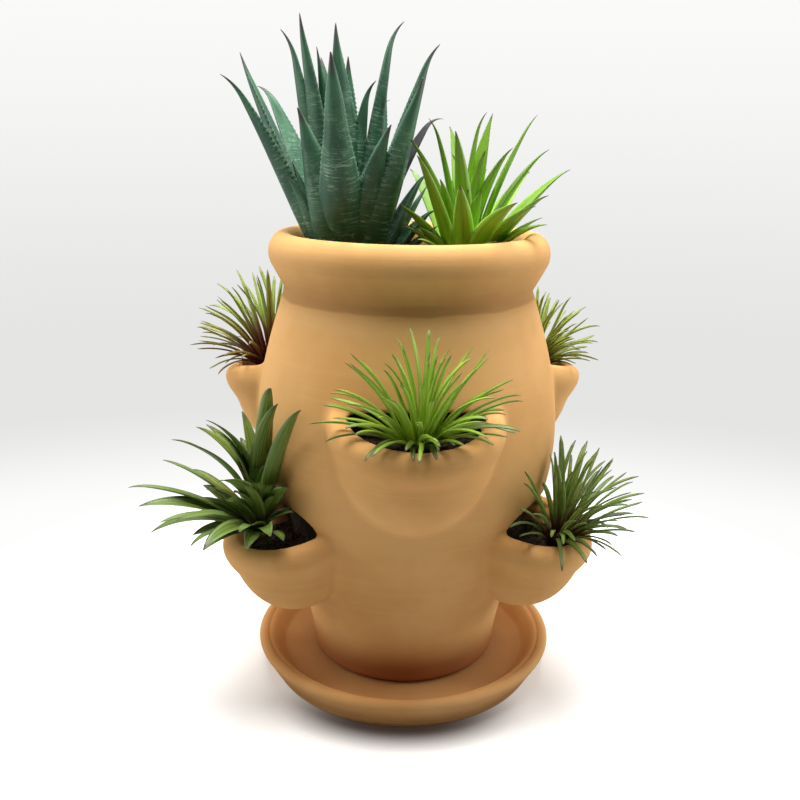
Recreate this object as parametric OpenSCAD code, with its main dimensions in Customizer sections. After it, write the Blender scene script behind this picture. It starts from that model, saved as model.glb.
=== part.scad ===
// Strawberry jar planter: a rolled-rim terracotta jar with two tiers of three
// side pockets, standing in its own saucer, filled with potting soil and
// planted with artificial succulents.
// Millimetres, +Z up. The origin is the centre of the saucer's underside.
// Angles round the jar are counted from the front (-Y) towards the right (+X).

/* [Saucer] */
// Radius of the flat underside
saucer_base_r = 90; // [82:1:93]
// Largest radius, at the rolled rim
saucer_rim_r = 103; // [101:1:110]
// Overall height
saucer_h = 24; // [22:1:28]
// Thickness of the floor
saucer_floor = 12; // [9:1:14]
// Width of the flat-topped rim
saucer_lip = 9; // [7:0.5:10]

/* [Jar] */
// Height from the foot to the top of the rim
jar_h = 290; // [286:1:310]
// Radius of the foot
foot_r = 64; // [58:0.5:68]
// Radius of the rounded edge round the foot
foot_round = 6; // [4:0.5:8]
// Largest radius of the body
belly_r = 99.5; // [97:0.5:101]
// Height of the belly above the foot
belly_h = 162; // [156:1:168]
// Radius at the crease under the rim
neck_r = 80; // [78:0.5:82]
// Height of the rim above the crease
rim_h = 35; // [32:1:40]
// Largest radius of the rolled rim
rim_r = 90; // [88:0.5:94]
// Radius of the mouth inside the rim
mouth_r = 71; // [69:0.5:72]
// Height of the rolled rim's round
rim_round = 25; // [22:1:28]
// Thickness of the body wall
jar_wall = 8; // [7:0.5:9]
// Thickness of the bottom
jar_base = 11; // [9:0.5:14]
// Radius of the drain hole in the bottom
drain_r = 8; // [5:0.5:12]

/* [Pockets] */
// Outer radius of an upper pocket's lip
upper_r = 50; // [48:0.5:51]
// Distance from the jar's axis to the centre of an upper lip
upper_reach = 86; // [84:0.5:89]
// Height of the front upper lip above the foot
upper_h = 189; // [186:1:192]
// How much higher the two rear upper pockets are set
upper_rise = 6; // [0:1:8]
// Depth of an upper pocket, outside
upper_depth = 66; // [62:1:68]
// Height of the arch cut in the jar wall above an upper lip
upper_arch = 9; // [7:0.5:12]
// Outer radius of a lower pocket's lip
lower_r = 41; // [40:0.5:42]
// Distance from the jar's axis to the centre of a lower lip
lower_reach = 90; // [88:0.5:92]
// Height of a lower lip above the foot
lower_h = 106; // [103:1:109]
// Depth of a lower pocket, outside
lower_depth = 54; // [50:1:57]
// Height of the arch cut in the jar wall above a lower lip
lower_arch = 18; // [14:1:20]
// Width of the rolled lip
lip_w = 12; // [10:0.5:13]
// Height of the rolled lip
lip_h = 13; // [11:0.5:14]
// How far the lip stands proud of the bowl under it
lip_step = 5; // [4:0.5:6]
// Thickness of a bowl's wall
bowl_wall = 8; // [7:0.5:9]
// How far a lip dips outwards, in degrees
lip_dip = 7; // [5:1:9]
// How much further a bowl is swung in under its lip, in degrees
bowl_swing = 9; // [6:1:11]

/* [Soil] */
// Depth of the soil below the top of the rim
soil_drop = 34; // [30:1:40]
// Depth of the soil below a pocket's lip
pocket_drop = 8; // [7:0.5:10]
// Gap between the soil and the clay
soil_gap = 0.3; // [0.2:0.1:0.5]

/* [Stems] */
// Radius of a plant's stem
stem_r = 2.5; // [2:0.25:3]
// Length of a stem below its lowest collar
stem_l = 32; // [28:1:36]
// Gap between a stem and the hole or collar round it
stem_gap = 0.25; // [0.15:0.05:0.4]
// Height of one collar that carries a ring of leaves
collar_h = 5; // [4.5:0.5:6]
// Gap between two collars on one stem
collar_gap = 0.3; // [0.2:0.1:0.5]
// How far outside the centre of an upper lip its plant stands
upper_out = 21; // [19:0.5:23]
// How far outside the centre of a lower lip its plant stands
lower_out = 17; // [15:0.5:19]
// How far a plant in the mouth leans outwards, in degrees
mouth_lean = 8; // [4:1:10]
// How far a plant in an upper pocket leans outwards, in degrees
upper_lean = 14; // [10:1:18]
// How far a plant in a lower pocket leans outwards, in degrees
lower_lean = 26; // [22:1:30]

/* [Leaves] */
// Widest aloe leaf
aloe_w = 24; // [20:1:25]
// Longest aloe leaf
aloe_l = 160; // [140:5:165]
// Widest yucca leaf
yucca_w = 14; // [11:1:15]
// Longest yucca leaf
yucca_l = 105; // [90:5:110]
// Widest dracaena leaf
dracaena_w = 10; // [8:0.5:11]
// Longest dracaena leaf
dracaena_l = 92; // [80:2:96]
// Widest grass blade
grass_w = 5; // [4:0.5:6]
// Longest grass blade
grass_l = 66; // [56:2:68]

/* [Hidden] */

// ---------------------------------------------------------------- outlines --

foot_z = saucer_floor;
rim_z = foot_z + jar_h;
neck_h = jar_h - rim_h;
soil_z = rim_z - soil_drop;

// Points on an elliptical arc
function arc(cx, cz, rx, rz, from, to, steps) =
    [for (i = [0:steps]) let (a = from + (to - from) * i / steps) [cx + rx * cos(a), cz + rz * sin(a)]];

// Outside radius of the body at a height above the foot
belly_power = 1.9;
function body_r(h) = h <= belly_h
    ? foot_r + (belly_r - foot_r) * pow(sin(90 * h / belly_h), belly_power)
    : neck_r + (belly_r - neck_r) * cos(90 * (h - belly_h) / (neck_h - belly_h));

// ------------------------------------------------------------------ saucer --

module saucer() {
    edge = 3.5;
    inner_r = saucer_rim_r - saucer_lip;
    fillet = 7;
    color("peru")
    rotate_extrude($fn = 96)
        polygon(concat(
            [[0, 0], [saucer_base_r, 0]],
            arc(saucer_rim_r - edge, saucer_h - edge, edge, edge, -35, 90, 5),
            arc(inner_r + edge - 1, saucer_h - edge, edge - 1, edge, 90, 180, 3),
            arc(inner_r - 2 - fillet, saucer_floor + fillet, fillet, fillet, 0, -90, 4),
            [[0, saucer_floor]]));
}

// --------------------------------------------------------------------- jar --

body_steps = 20;
rim_crown_r = (rim_r + mouth_r) / 2;
rim_half_w = (rim_r - mouth_r) / 2;

module jar_outside() {
    foot_edge = arc(foot_r - foot_round, foot_round, foot_round, foot_round, -90, -15, 4);
    body_outline = [for (i = [1:body_steps - 1]) let (h = foot_round + (neck_h - foot_round) * i / body_steps)
        [body_r(h), h]];
    rim_outline = arc(rim_crown_r, jar_h - rim_round / 2, rim_half_w, rim_round / 2, -38, 180, 10);
    rotate_extrude($fn = 96)
        polygon(concat([[0, 0]], foot_edge, body_outline, [[neck_r, neck_h]], rim_outline,
            [[mouth_r, neck_h + 2], [0, neck_h + 2]]));
}

// The space inside the jar, drawn in by a gap, up to a height above the foot
module jar_cavity(gap, top) {
    inner = [for (i = [1:body_steps - 1]) let (h = jar_base + 4 + (neck_h - 4 - jar_base) * i / body_steps)
        [body_r(h) - jar_wall - gap, h]];
    mouth = mouth_r - gap;
    rotate_extrude($fn = 96)
        polygon(concat([[0, jar_base + gap], [body_r(jar_base) - jar_wall - gap - 6, jar_base + gap]],
            inner, [[mouth, neck_h + 3], [mouth, top], [0, top]]));
}

// A pocket is [angle, reach, lip height above the foot, lip radius, depth, arch height]
upper_pockets = [for (a = [0, 120, 240])
    [a, upper_reach, upper_h + (a > 0 ? upper_rise : 0), upper_r, upper_depth, upper_arch]];
lower_pockets = [for (a = [60, 180, 300]) [a, lower_reach, lower_h, lower_r, lower_depth, lower_arch]];
pockets = concat(upper_pockets, lower_pockets);

// Puts its children at a pocket's lip, with -Y pointing outwards and the lip dipping
module at_lip(p) {
    rotate(p[0]) translate([0, -p[1], p[2]]) rotate([lip_dip, 0, 0]) children();
}

// A rolled lip and the bowl that swings in under it, both solid
module pocket_outside(p) {
    r = p[3];
    rotate_extrude($fn = 64)
        polygon(concat([[0, 0]],
            arc(r - lip_w / 2, -lip_h / 2, lip_w / 2, lip_h / 2, 90, -60, 6),
            [[0, -lip_h]]));
    rotate([bowl_swing, 0, 0]) rotate_extrude($fn = 64)
        polygon(concat([[0, -lip_h / 2]], arc(0, -lip_h, r - lip_step, p[4] - lip_h, 14, -90, 9)));
}

// The hollow of a pocket and the arch that joins it to the inside of the jar
module pocket_hollow(p, gap) {
    throat = p[3] - lip_w - gap;
    hollow_r = p[3] - lip_step - bowl_wall - gap;
    rotate_extrude($fn = 64)
        polygon(concat([[0, -lip_h]],
            arc(p[3] - lip_w / 2, -lip_h / 2, lip_w / 2 + gap, lip_h / 2, 200, 120, 4),
            arc(0, 0, throat + 3, p[5] - gap, 0, 90, 6)));
    rotate([bowl_swing, 0, 0]) rotate_extrude($fn = 64)
        polygon(concat([[0, -lip_h / 2]],
            arc(0, -lip_h, hollow_r, p[4] - lip_h - bowl_wall - gap, 20, -90, 8)));
}

module jar() {
    color("peru")
    translate([0, 0, foot_z])
    difference() {
        union() {
            jar_outside();
            for (p = pockets) at_lip(p) pocket_outside(p);
        }
        jar_cavity(0, jar_h + 1);
        for (p = pockets) at_lip(p) pocket_hollow(p, 0);
        translate([0, 0, -1]) cylinder(r = drain_r, h = jar_base + 2);
    }
}

// -------------------------------------------------------------------- soil --

// A plant is [angle, distance from the axis, height of its lowest collar, lean]
mouth_plants_z = soil_z + 5;
aloe_at = [278, 38, mouth_plants_z, mouth_lean];
yucca_at = [65, 36, mouth_plants_z + 2, mouth_lean];

// A plant level with its pocket's lip, a distance outside the lip's centre
function in_pocket(p, out, lean) = [p[0], p[1] + out, foot_z + p[2] - out * tan(lip_dip), lean];
dracaena_at = in_pocket(lower_pockets[2], lower_out, lower_lean);
front_grass_at = in_pocket(upper_pockets[0], upper_out, upper_lean);
right_grass_at = in_pocket(lower_pockets[0], lower_out, lower_lean);
rear_right_grass_at = in_pocket(upper_pockets[1], upper_out, upper_lean);
rear_left_grass_at = in_pocket(upper_pockets[2], upper_out, upper_lean);
rear_grass_at = in_pocket(lower_pockets[1], lower_out, lower_lean);
plants = [
    aloe_at, yucca_at, dracaena_at, front_grass_at,
    right_grass_at, rear_right_grass_at, rear_left_grass_at, rear_grass_at
];

// Puts its children at a plant's lowest collar, upright, with -Y pointing outwards
module at_plant(p) {
    rotate(p[0]) translate([0, -p[1], p[2]]) children();
}

module leaning(p) {
    rotate([p[3], 0, 0]) children();
}

module potting_soil() {
    color([0.16, 0.11, 0.08])
    difference() {
        union() {
            translate([0, 0, foot_z]) jar_cavity(soil_gap, jar_h - soil_drop);
            for (p = pockets) translate([0, 0, foot_z]) at_lip(p) pocket_filling(p);
        }
        for (p = plants) at_plant(p) leaning(p)
            translate([0, 0, -stem_l - stem_gap]) cylinder(r = stem_r + stem_gap, h = 2 * stem_l);
    }
}

// The part of a pocket's hollow that lies below the soil's surface
module pocket_filling(p) {
    reach = 2 * p[3];
    intersection() {
        pocket_hollow(p, soil_gap);
        rotate([-lip_dip, 0, 0]) translate([-reach, -reach, -reach - pocket_drop]) cube([2 * reach, 2 * reach, reach]);
    }
}

// ------------------------------------------------------------------ leaves --

// A leaf is [azimuth, lean, length, width, curl, start radius, start height]: it
// leaves its collar at an angle "lean" from upright, towards an azimuth counted
// from -Y to +X, and bends outwards by "curl" degrees up to its tip.

// Centre line at a share t of the length
function leaf_path(leaf, t) =
    let (curl = leaf[4] == 0 ? 0.1 : leaf[4], turn = leaf[1] + curl * t, arm = leaf[2] / (curl * PI / 180))
    [leaf[5] + arm * (cos(leaf[1]) - cos(turn)), leaf[6] + arm * (sin(turn) - sin(leaf[1]))];

// A point beside the centre line: "side" across the blade, "up" out of its upper face
function leaf_point(leaf, t, side, up) =
    let (c = leaf_path(leaf, t), turn = leaf[1] + leaf[4] * t)
    [side, -(c[0] - up * cos(turn)), c[1] + up * sin(turn)];

// "form" is [[share of the length, share of the width], ...], "keel" the depth
// under the edges and "groove" the depth of the upper face, as shares of the width
module leaf(leaf, form, keel, groove) {
    four = groove > 0;
    sides = four ? 4 : 3;
    half = leaf[3] / 2;
    rings = [for (f = form) let (w = half * f[1]) concat(
        [leaf_point(leaf, f[0], -w, 0), leaf_point(leaf, f[0], 0, -2 * keel * w),
         leaf_point(leaf, f[0], w, 0)],
        four ? [leaf_point(leaf, f[0], 0, -2 * groove * w)] : [])];
    count = len(form);
    tip = count * sides;
    points = concat([for (ring = rings) for (p = ring) p], [leaf_point(leaf, 1, 0, 0)]);
    skin = [for (i = [0:count - 2]) for (k = [0:sides - 1])
        let (a = i * sides + k, b = i * sides + (k + 1) % sides)
        each [[a, b + sides, b], [a, a + sides, b + sides]]];
    point = [for (k = [0:sides - 1]) [tip - sides + k, tip, tip - sides + (k + 1) % sides]];
    base = four ? [[0, 1, 3], [3, 1, 2]] : [[0, 1, 2]];
    rotate(leaf[0]) polyhedron(points = points, faces = concat(base, skin, point));
}

// A ring of leaves on an eight-sided collar, threaded on the stem; the last of a
// plant's levels caps the stem
module whorl(p, level, levels, leaves, collar_r, form, keel, groove) {
    low = level * (collar_h + collar_gap);
    last = level == levels - 1;
    socket = last ? stem_top(levels) + 0.4 - low : 1.5 * collar_h;
    at_plant(p)
    difference() {
        union() {
            leaning(p) translate([0, 0, low]) cylinder(r = collar_r, h = collar_h, $fn = 8);
            leaning(p) translate([0, 0, low]) rotate([-p[3], 0, 0])
                for (l = leaves) leaf(l, form, keel, groove);
        }
        leaning(p) translate([0, 0, low - 1]) cylinder(r = stem_r + stem_gap + 0.1, h = socket + 1, $fn = 8);
    }
}

// Height of a stem's top above its lowest collar's underside
function stem_top(levels) = (levels - 1) * (collar_h + collar_gap) + collar_h - 2;

module stem(p, levels, tint) {
    point = 6;
    color(tint) at_plant(p) leaning(p) {
        translate([0, 0, point - stem_l]) cylinder(r = stem_r, h = stem_l - point + stem_top(levels));
        translate([0, 0, -stem_l]) cylinder(r1 = stem_r / 3, r2 = stem_r, h = point);
    }
}

// Completes a list of [azimuth, lean, length, width, curl], azimuths counted round the
// jar's axis, for one plant: the more upright a leaf, the nearer the middle it starts
function rooted(p, leaves, r0, height, size, width) = [for (l = leaves)
    [l[0] - p[0], l[1], l[2] * size, l[3] * width, l[4], r0 * (0.4 + 0.6 * sin(min(90, 1.6 * l[1]))), height]];

function frac(x) = x - floor(x);
function wobble(i, size) = size * (2 * frac(i * 0.618) - 1);

// One tier of blades, spread evenly to both sides of the outward direction, with
// small changes from blade to blade
function tier(count, seed, spread, lean, share, curl, r0, height) = [for (i = [0:count - 1])
    [spread * (2 * (i + 0.5) / count - 1) + wobble(i + seed, 4), lean + wobble(2 * i + seed, 3),
     grass_l * share * (1 - frac(i * 0.755 + seed) * 0.14), grass_w, curl + wobble(3 * i + seed, 4), r0, height]];

// -------------------------------------------------------------------- aloe --

aloe_form = [[0, 0.6], [0.18, 0.92], [0.42, 1], [0.68, 0.7], [0.87, 0.34]];
aloe_keel = 0.26;
aloe_groove = 0.1;
al = aloe_l / 160;
aw = aloe_w / 24;

module aloe_stem() {
    stem(aloe_at, 3, "olivedrab");
}

module aloe_outer_leaves() {
    leaves = [
        [275, 24, 138, 20, 8], [250, 23, 148, 20, 6], [225, 27, 142, 20, 8],
        [34, 28, 100, 19, 10], [285, 35, 75, 16, 10], [175, 30, 118, 18, 8]
    ];
    color("darkslategray")
        whorl(aloe_at, 0, 3, rooted(aloe_at, leaves, 12, 2.5, al, aw), 12.5, aloe_form, aloe_keel, aloe_groove);
}

module aloe_middle_leaves() {
    leaves = [
        [350, 25, 132, 24, -8], [270, 9, 145, 20, 6], [300, 8, 149, 20, 6], [100, 15, 143, 20, 6],
        [70, 16, 120, 18, 8], [150, 16, 118, 20, 8], [205, 12, 133, 20, 6], [112, 17, 112, 17, 24],
        [318, 16, 108, 21, 12]
    ];
    color("darkslategray")
        whorl(aloe_at, 1, 3, rooted(aloe_at, leaves, 10.5, 2.5, al, aw), 9.5, aloe_form, aloe_keel, aloe_groove);
}

module aloe_inner_leaves() {
    leaves = [
        [330, 2, 136, 18, 8], [60, 4, 107, 16, 6], [110, 8, 145, 16, 6], [290, 6, 124, 15, 4],
        [180, 8, 122, 15, 6]
    ];
    color("darkslategray")
        whorl(aloe_at, 2, 3, rooted(aloe_at, leaves, 4, 4.2, al, aw), 5.5, aloe_form, aloe_keel, aloe_groove);
}

// ------------------------------------------------------------------- yucca --

yucca_form = [[0, 0.65], [0.2, 0.95], [0.45, 1], [0.7, 0.75], [0.88, 0.4]];
yucca_keel = 0.22;
yucca_groove = 0.08;
yl = yucca_l / 105;
yw = yucca_w / 14;

module yucca_stem() {
    stem(yucca_at, 2, "yellowgreen");
}

module yucca_outer_leaves() {
    leaves = [
        [78, 26, 90, 13, 8], [90, 38, 89, 13, 8], [60, 38, 71, 13, 10], [45, 40, 66, 13, 12],
        [20, 46, 77, 13, 10], [350, 34, 72, 13, 8], [320, 29, 86, 13, 6], [295, 20, 90, 13, 6],
        [215, 34, 80, 13, 8], [175, 40, 82, 13, 8], [130, 38, 85, 13, 8]
    ];
    color("yellowgreen")
        whorl(yucca_at, 0, 2, rooted(yucca_at, leaves, 5.6, 2.5, yl, yw), 7, yucca_form, yucca_keel, yucca_groove);
}

module yucca_inner_leaves() {
    leaves = [
        [95, 21, 99, 12, 5], [120, 8, 92, 12, 5], [60, 3, 92, 12, 4], [285, 11, 90, 12, 5],
        [200, 12, 86, 12, 5], [20, 14, 72, 12, 6], [340, 16, 84, 12, 6]
    ];
    color("yellowgreen")
        whorl(yucca_at, 1, 2, rooted(yucca_at, leaves, 4, 4.2, yl, yw), 5, yucca_form, yucca_keel, yucca_groove);
}

// ---------------------------------------------------------------- dracaena --

dracaena_form = [[0, 0.45], [0.25, 1], [0.55, 0.9], [0.82, 0.5]];
dracaena_keel = 0.2;
dl = dracaena_l / 92;
dw = dracaena_w / 10;

module dracaena_stem() {
    stem(dracaena_at, 2, "darkolivegreen");
}

module dracaena_outer_leaves() {
    leaves = [
        [280, 57, 86, 9, 12], [290, 61, 77, 9, 12], [275, 80, 66, 9, 14], [318, 67, 55, 9, 20],
        [332, 62, 59, 9, 24], [300, 63, 66, 9, 14], [310, 58, 62, 9, 14], [255, 50, 76, 9, 10],
        [235, 55, 64, 9, 12], [350, 56, 52, 9, 14], [10, 60, 48, 9, 12]
    ];
    color("darkgreen")
        whorl(dracaena_at, 0, 2, rooted(dracaena_at, leaves, 4.5, 1.6, dl, dw), 6, dracaena_form, dracaena_keel, 0);
}

module dracaena_inner_leaves() {
    leaves = [
        [20, 14, 103, 10, 6], [30, 14, 91, 10, 6], [32, 26, 104, 10, 8], [25, 7, 88, 10, 8],
        [300, 16, 70, 10, 6], [290, 17, 78, 10, 8], [275, 23, 74, 10, 8], [285, 33, 78, 10, 10],
        [40, 34, 43, 10, 8], [350, 6, 42, 10, 10], [330, 26, 38, 10, 20], [220, 9, 72, 10, 4],
        [245, 25, 70, 10, 8]
    ];
    color("darkgreen")
        whorl(dracaena_at, 1, 2, rooted(dracaena_at, leaves, 3.4, 3.8, dl, dw), 3.9, dracaena_form, dracaena_keel, 0);
}

// ----------------------------------------------------------------- grasses --

grass_form = [[0, 0.3], [0.2, 0.66], [0.5, 1], [0.8, 0.6]];
grass_keel = 0.25;

module grass_outer(p, seed) {
    whorl(p, 0, 2, concat(
        tier(8, seed, 92, 61, 1, 20, 4, 2),
        tier(8, seed + 0.4, 86, 73, 0.95, 26, 4, 0.8)), 5.5, grass_form, grass_keel, 0);
}

// On the jar's side only the middle blades stand, almost upright
module grass_inner(p, seed) {
    steep = p[3] > 20 ? 3 : 8;
    whorl(p, 1, 2, concat(
        [for (l = tier(5, seed, 150, 10, 0.95, 6, 1.4, 3.6)) abs(l[0]) > 80
            ? [l[0], steep, l[2], l[3], 2, l[5], l[6]] : l],
        tier(7, seed + 0.3, 94, 25, 1, 10, 2.4, 3.6),
        tier(8, seed + 0.6, 96, 41, 1, 16, 3.1, 3.6)), 3.8, grass_form, grass_keel, 0);
}

module front_grass_stem() {
    stem(front_grass_at, 2, "yellowgreen");
}

module front_grass_outer_leaves() {
    color("yellowgreen") grass_outer(front_grass_at, 0.1);
}

module front_grass_inner_leaves() {
    color("yellowgreen") grass_inner(front_grass_at, 0.3);
}

module right_grass_stem() {
    stem(right_grass_at, 2, "olivedrab");
}

module right_grass_outer_leaves() {
    color("olivedrab") grass_outer(right_grass_at, 0.2);
}

module right_grass_inner_leaves() {
    color("olivedrab") grass_inner(right_grass_at, 0.45);
}

module rear_left_grass_stem() {
    stem(rear_left_grass_at, 2, "sienna");
}

module rear_left_grass_outer_leaves() {
    color("sienna") grass_outer(rear_left_grass_at, 0.35);
}

module rear_left_grass_inner_leaves() {
    color("sienna") grass_inner(rear_left_grass_at, 0.6);
}

module rear_right_grass_stem() {
    stem(rear_right_grass_at, 2, "yellowgreen");
}

module rear_right_grass_outer_leaves() {
    color("yellowgreen") grass_outer(rear_right_grass_at, 0.55);
}

module rear_right_grass_inner_leaves() {
    color("yellowgreen") grass_inner(rear_right_grass_at, 0.8);
}

module rear_grass_stem() {
    stem(rear_grass_at, 2, "olivedrab");
}

module rear_grass_outer_leaves() {
    color("olivedrab") grass_outer(rear_grass_at, 0.7);
}

module rear_grass_inner_leaves() {
    color("olivedrab") grass_inner(rear_grass_at, 0.9);
}

saucer();
jar();
potting_soil();
aloe_stem();
aloe_outer_leaves();
aloe_middle_leaves();
aloe_inner_leaves();
yucca_stem();
yucca_outer_leaves();
yucca_inner_leaves();
dracaena_stem();
dracaena_outer_leaves();
dracaena_inner_leaves();
front_grass_stem();
front_grass_outer_leaves();
front_grass_inner_leaves();
right_grass_stem();
right_grass_outer_leaves();
right_grass_inner_leaves();
rear_left_grass_stem();
rear_left_grass_outer_leaves();
rear_left_grass_inner_leaves();
rear_right_grass_stem();
rear_right_grass_outer_leaves();
rear_right_grass_inner_leaves();
rear_grass_stem();
rear_grass_outer_leaves();
rear_grass_inner_leaves();
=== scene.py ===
"""Strawberry jar planter: a terracotta jar with six side pockets in its saucer, with artificial plants.

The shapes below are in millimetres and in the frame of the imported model: +Z up, the origin under the
middle of the saucer, and angles round the jar counted from the front (-Y) towards the right (+X).
"""

from math import cos, pi, radians, sin, tan

import bpy
import numpy as np
from mathutils import Matrix, Vector


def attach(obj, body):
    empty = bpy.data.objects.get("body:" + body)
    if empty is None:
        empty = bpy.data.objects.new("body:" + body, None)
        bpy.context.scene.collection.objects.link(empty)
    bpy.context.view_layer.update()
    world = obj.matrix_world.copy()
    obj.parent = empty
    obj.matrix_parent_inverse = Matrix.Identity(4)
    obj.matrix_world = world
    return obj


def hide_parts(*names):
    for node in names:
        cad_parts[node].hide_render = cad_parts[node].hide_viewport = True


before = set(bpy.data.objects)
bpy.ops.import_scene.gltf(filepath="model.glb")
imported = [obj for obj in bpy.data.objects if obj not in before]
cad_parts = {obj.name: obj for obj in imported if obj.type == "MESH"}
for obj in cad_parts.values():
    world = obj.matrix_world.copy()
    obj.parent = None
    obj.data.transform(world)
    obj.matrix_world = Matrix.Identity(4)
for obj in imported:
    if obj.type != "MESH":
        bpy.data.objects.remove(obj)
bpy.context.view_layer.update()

MM = 0.001
rng = np.random.default_rng(7)

# ---- camera ----

LENS_MM = 40.5
PITCH_DOWN = 16
CAMERA_DISTANCE = 584
CAMERA_HEIGHT = 357
CAMERA_ROLL = 0.9
CAMERA_AZIMUTH = -3.6
SHIFT_PX = 7
FRAME_PX = 800


def add_object(name, data):
    thing = bpy.data.objects.new(name, data)
    bpy.context.scene.collection.objects.link(thing)
    return thing


def make_camera():
    data = bpy.data.cameras.new("camera")
    data.sensor_width = 36
    data.lens = LENS_MM
    data.shift_x = -SHIFT_PX / FRAME_PX
    camera = add_object("camera", data)
    camera.matrix_world = (
        Matrix.Rotation(radians(CAMERA_AZIMUTH), 4, "Z")
        @ Matrix.Translation((0, -CAMERA_DISTANCE * MM, CAMERA_HEIGHT * MM))
        @ Matrix.Rotation(radians(90 - PITCH_DOWN), 4, "X")
        @ Matrix.Rotation(radians(CAMERA_ROLL), 4, "Z")
    )
    bpy.context.scene.camera = camera


# ---- node helpers ----


class Nodes:
    """A node tree that is written as short calls."""

    def __init__(self, tree):
        self.tree = tree
        tree.nodes.clear()

    def add(self, kind, *values, **named):
        """A node with its first inputs in order. A name in lower case is a setting, another an input."""
        node = self.tree.nodes.new("ShaderNode" + kind)
        for name, value in named.items():
            if name.islower():
                setattr(node, name, value)
        for name, value in [*enumerate(values), *named.items()]:
            if not str(name).islower():
                self.put(node, name, value)
        return node

    def put(self, node, name, value):
        """Sets or links an input, given by its number or its name."""
        socket = node.inputs[name.replace("_", " ") if isinstance(name, str) else name]
        if isinstance(value, bpy.types.NodeSocket):
            self.tree.links.new(value, socket)
        else:
            socket.default_value = value

    def place(self):
        return self.add("TexCoord").outputs["Object"]

    def split(self, vector):
        return self.add("SeparateXYZ", vector).outputs

    def math(self, operation, *values, clamp=False):
        return self.add("Math", *values, operation=operation, use_clamp=clamp).outputs[0]

    def vector(self, operation, *values):
        """Vector maths. Its output is the number for the operations that give one."""
        node = self.add("VectorMath", *values, operation=operation)
        return node.outputs["Value" if operation in ("LENGTH", "DOT_PRODUCT") else "Vector"]

    def ramp(self, value, low, high, to_low=0.0, to_high=1.0):
        node = self.add("MapRange", value, low, high, to_low, to_high, interpolation_type="SMOOTHSTEP")
        return node.outputs[0]

    def mix(self, factor, a, b):
        """Mixes two colours."""
        node = self.add("Mix", factor, data_type="RGBA")
        for name, value in ((6, a), (7, b)):
            self.put(node, name, value if isinstance(value, bpy.types.NodeSocket) else colour(value))
        return node.outputs[2]

    def noise(self, vector, scale, detail=3.0, roughness=0.5, distortion=0.0):
        node = self.add("TexNoise", Vector=vector, Scale=scale, Detail=detail,
                        Roughness=roughness, Distortion=distortion)
        return node.outputs["Fac"]

    def mix_shader(self, factor, a, b):
        return self.add("MixShader", factor, a.outputs[0], b.outputs[0])

    def bump(self, height, distance, strength=1.0, normal=None):
        node = self.add("Bump", Height=height, Distance=distance, Strength=strength)
        if normal is not None:
            self.put(node, "Normal", normal)
        return node.outputs[0]


def colour(rgb):
    """An sRGB colour, 0 to 255, as the linear colour that a socket takes."""
    linear = [c / 255 / 12.92 if c / 255 <= 0.04045 else ((c / 255 + 0.055) / 1.055) ** 2.4 for c in rgb]
    return (*linear, 1.0)


def new_material(name, roughness, specular=0.5):
    """A material, its nodes and its shader, with the uniform values on the shader's own sockets."""
    material = bpy.data.materials.new(name)
    material.use_nodes = True
    nodes = Nodes(material.node_tree)
    shader = nodes.add("BsdfPrincipled", Roughness=roughness, Specular_IOR_Level=specular)
    nodes.add("OutputMaterial", Surface=shader.outputs[0])
    return material, nodes, shader


# ---- materials ----

CLAY = (219, 169, 106)
CLAY_DEEP = (209, 157, 93)
# Pale clay: the throwing lines, and the painted light on the shoulder under the rim
CLAY_PALE = (228, 184, 124)
# Painted shade, round the jar's foot and on the saucer
CLAY_PAINTED_SHADE = (150, 88, 44)
# Painted shade in the crease under the rim
CLAY_PAINTED_CREASE_SHADE = (138, 92, 44)
# Painted shade and painted light by height: [start, full, full, end, share, colour]
JAR_BANDS = [
    (0, 1, 18, 52, 0.95, CLAY_PAINTED_SHADE),  # painted shade round the foot
    (265, 267, 271, 288, 0.42, CLAY_PAINTED_CREASE_SHADE),  # painted shade in the crease under the rim
    (250, 258, 261, 265, 0.3, CLAY_PALE),  # painted light on the shoulder under the rim
]
# Painted shade on the saucer, from 8 to 22 mm up, over its floor and wall
SAUCER_BANDS = [(8, 9, 13, 22, 0.3, CLAY_PAINTED_SHADE)]


def terracotta(name, tint, bands):
    """Matt unglazed clay: faint throwing lines, cloudy tone, fine grain, and painted shade and light in
    bands by height.
    """
    material, nodes, shader = new_material(name, 0.86, 0.25)
    place = nodes.place()
    clouds = nodes.noise(place, 14.0, 3.0, 0.55)
    lines = nodes.noise(nodes.vector("MULTIPLY", place, (5.0, 5.0, 420.0)), 1.0, 3.0, 0.6)
    grain = nodes.noise(place, 1500.0, 2.0, 0.6)
    pits = nodes.noise(place, 420.0, 4.0, 0.7)
    clay, deep, pale = ([c * t for c, t in zip(rgb, tint)] for rgb in (CLAY, CLAY_DEEP, CLAY_PALE))
    tone = nodes.mix(nodes.ramp(clouds, 0.36, 0.64), deep, clay)
    tone = nodes.mix(nodes.math("MULTIPLY", nodes.ramp(lines, 0.5, 0.72), 0.12), tone, pale)
    speck = nodes.math("MULTIPLY", nodes.ramp(pits, 0.66, 0.74), 0.3)
    tone = nodes.mix(speck, tone, [c * 0.72 for c in CLAY_DEEP])
    wavy = nodes.math("MULTIPLY_ADD", clouds, 0.008, nodes.split(place)[2])
    # Bands of painted shade and painted light, by height
    for start, full, until, end, share, painted_shading in bands:
        rise = nodes.ramp(wavy, start * MM, full * MM, 0.0, share)
        fall = nodes.ramp(wavy, until * MM, end * MM, 1.0, 0.0)
        tone = nodes.mix(nodes.math("MULTIPLY", rise, fall), tone, painted_shading)
    nodes.put(shader, "Base Color", tone)
    coarse = nodes.bump(lines, 0.00015, 0.5)
    fine = nodes.bump(pits, 0.0002, 0.35, coarse)
    nodes.put(shader, "Normal", nodes.bump(grain, 0.00012, 0.5, fine))
    return material


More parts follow.
